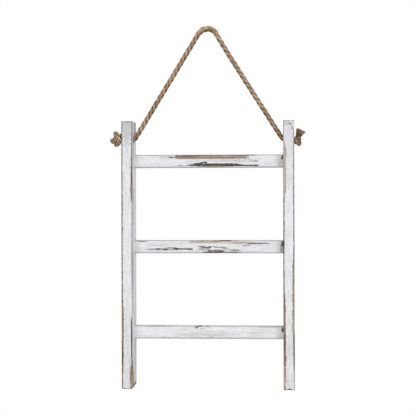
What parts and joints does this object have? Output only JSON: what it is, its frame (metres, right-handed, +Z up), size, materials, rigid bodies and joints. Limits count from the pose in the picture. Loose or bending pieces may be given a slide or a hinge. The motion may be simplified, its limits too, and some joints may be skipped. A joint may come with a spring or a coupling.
{
  "type": "wall towel ladder",
  "caption": "Small white-washed wooden ladder with flat rounded rungs for towels, hung from a hook by a jute rope that is knotted outside the rails.",
  "frame": {"origin": "inside of the rope at the top of its loop, where a hook carries the ladder", "axes": "+Z is up, -Y is the front that faces the room, +Y points to the wall, and +X is to the right as seen from the front"},
  "size_m": [0.369, 0.037, 0.6805],
  "materials": {
    "whitewashed_wood": "worn matt paint",
    "jute_rope": "rough twisted fibre",
    "screw_steel": "zinc plated"
  },
  "bodies": {
    "hanger": {"hanging_rope": "jute_rope", "knot_left": "jute_rope", "knot_right": "jute_rope", "tail_left": "jute_rope", "tail_right": "jute_rope"},
    "ladder": {"rail_left": "whitewashed_wood", "rail_right": "whitewashed_wood", "rung_top": "whitewashed_wood", "rung_middle": "whitewashed_wood", "rung_bottom": "whitewashed_wood", "screw_top_left_upper": "screw_steel", "screw_top_left_lower": "screw_steel", "screw_top_right_upper": "screw_steel", "screw_top_right_lower": "screw_steel", "screw_middle_left_upper": "screw_steel", "screw_middle_left_lower": "screw_steel", "screw_middle_right_upper": "screw_steel", "screw_middle_right_lower": "screw_steel", "screw_bottom_left_upper": "screw_steel", "screw_bottom_left_lower": "screw_steel", "screw_bottom_right_upper": "screw_steel", "screw_bottom_right_lower": "screw_steel"}
  },
  "joints": [
    {"name": "ladder_swing", "type": "hinge", "parent": "hanger", "child": "ladder", "pos_m": [0, 0, -0.2045], "axis": [1, 0, 0], "range_deg": [-160, 145]}
  ]
}
